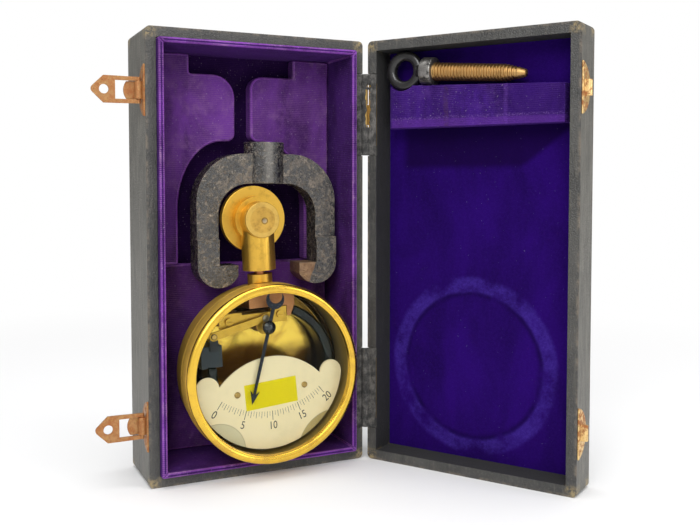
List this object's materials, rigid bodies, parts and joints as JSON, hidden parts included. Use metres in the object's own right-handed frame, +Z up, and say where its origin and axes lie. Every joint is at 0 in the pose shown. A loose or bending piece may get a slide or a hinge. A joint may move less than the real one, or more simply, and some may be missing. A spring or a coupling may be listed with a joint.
{
  "type": "standard pressure gauge in fitted case",
  "caption": "Round brass Bourdon-tube test gauge with flanged stem, iron U-clamp and eye screw, in a velvet-lined hinged case with hasps.",
  "frame": {"origin": "middle of the base's outline on the face the case stands on", "axes": "+Z up along the case's height, +Y towards the back of the base, +X towards the hinge side"},
  "size_m": [0.2554, 0.1622, 0.26],
  "materials": {
    "case_cloth": "boards covered in worn black leathercloth",
    "purple_velvet": "worn purple velvet over board",
    "violet_velvet": "deep violet velvet over board",
    "strap_cloth": "frayed black cloth",
    "gilt_brass": "polished, lacquered",
    "plate_gilt": "gilt, rusty in patches",
    "aged_brass": "satin, aged",
    "hinge_brass": "dull",
    "rusty_steel": "rusty, with traces of gilding",
    "black_iron": "black, worn brown at the edges",
    "black_steel": "gloss black",
    "clear_glass": "clear",
    "cream_dial": "satin cream",
    "yellow_label": "matt yellow",
    "blued_steel": "blue-black",
    "bright_steel": "bright",
    "copper_block": "copper-coloured, dull",
    "slate_steel": "slate grey",
    "tube_green": "dark green-black"
  },
  "bodies": {
    "case_base": {"base_walls": "case_cloth", "base_panel": "case_cloth", "base_floor_velvet": "purple_velvet", "lip_boards": "purple_velvet", "recess_board_left": "purple_velvet", "recess_board_right": "purple_velvet", "lower_board": "purple_velvet", "gauge_rest": "purple_velvet", "hinge_leaves_base": "hinge_brass", "hinge_pins": "hinge_brass", "hinge_straps": "strap_cloth", "hasp_plates": "rusty_steel"},
    "lid": {"lid_walls": "case_cloth", "lid_panel": "case_cloth", "lid_velvet": "violet_velvet", "lid_bar": "violet_velvet", "hinge_leaves_lid": "hinge_brass", "catch_plates": "plate_gilt"},
    "upper_hasp": {"upper_hasp": "rusty_steel"},
    "lower_hasp": {"lower_hasp": "rusty_steel"},
    "gauge": {"casing": "gilt_brass", "bezel": "gilt_brass", "glass": "clear_glass", "casing_screw": "aged_brass", "dial": "cream_dial", "dial_label": "yellow_label", "dial_posts": "aged_brass", "dial_screws": "aged_brass", "socket_block": "copper_block", "bourdon_tube": "tube_green", "movement_plate_front": "aged_brass", "movement_plate_back": "aged_brass", "movement_pillars": "aged_brass", "movement_screws": "aged_brass", "stem_collar": "aged_brass", "stem_neck": "aged_brass", "stem_casting": "aged_brass", "flange_disc": "aged_brass", "stem_plug": "aged_brass"},
    "tube_tip": {"tube_tip_block": "slate_steel", "tube_tip_lug": "slate_steel"},
    "link": {"link_bar": "aged_brass"},
    "pointer": {"pointer_arbor": "bright_steel", "pointer": "blued_steel", "pointer_hub": "blued_steel"},
    "clamp": {"clamp_yoke": "black_iron", "clamp_shoulder_left": "black_iron", "clamp_shoulder_right": "black_iron", "clamp_arm_left": "black_iron", "clamp_arm_right": "black_iron"},
    "eye_screw": {"screw_eye": "black_steel", "screw_collar": "black_steel", "screw_shank": "aged_brass"}
  },
  "joints": [
    {"name": "lid_hinge", "type": "hinge", "parent": "case_base", "child": "lid", "pos_m": [0.06875, -0.023, 0], "axis": [0, 0, 1], "range_deg": [-122, 57.5], "deforming": ["hinge_straps"]},
    {"name": "upper_hasp_turn", "type": "hinge", "parent": "case_base", "child": "upper_hasp", "pos_m": [-0.0696, -0.018, 0.2245], "axis": [0, 0, 1], "range_deg": [-88, 90]},
    {"name": "lower_hasp_turn", "type": "hinge", "parent": "case_base", "child": "lower_hasp", "pos_m": [-0.0696, -0.018, 0.0355], "axis": [0, 0, 1], "range_deg": [-88, 90]},
    {"name": "gauge_lift", "type": "slide", "parent": "case_base", "child": "gauge", "axis": [0, -1, 0], "range_m": [0, 0.06]},
    {"name": "clamp_lift", "type": "slide", "parent": "case_base", "child": "clamp", "axis": [0, -1, 0], "range_m": [0, 0.045]},
    {"name": "screw_lift", "type": "slide", "parent": "lid", "child": "eye_screw", "axis": [-0.848, -0.5299, 0], "range_m": [0, 0.04]},
    {"name": "tip_swing", "type": "hinge", "parent": "gauge", "child": "tube_tip", "pos_m": [0.01366, -0.023, 0.0512], "axis": [0, -1, 0], "range_deg": [-2.2, 5.72], "stiffness_Nm_per_rad": 0.6, "deforming": ["bourdon_tube"]},
    {"name": "link_swing", "type": "hinge", "parent": "tube_tip", "child": "link", "pos_m": [-0.03038, -0.027, 0.08467], "axis": [0, -1, 0], "range_deg": [-0.84, 0.33]},
    {"name": "pointer_turn", "type": "hinge", "parent": "gauge", "child": "pointer", "pos_m": [0.00187, -0.023, 0.08846], "axis": [0, -1, 0], "range_deg": [-20.6, 53.6]}
  ],
  "couplings": [
    {"joint": "link_swing", "follows": "tip_swing", "ratio": -0.145},
    {"joint": "pointer_turn", "follows": "tip_swing", "ratio": 9.33}
  ]
}
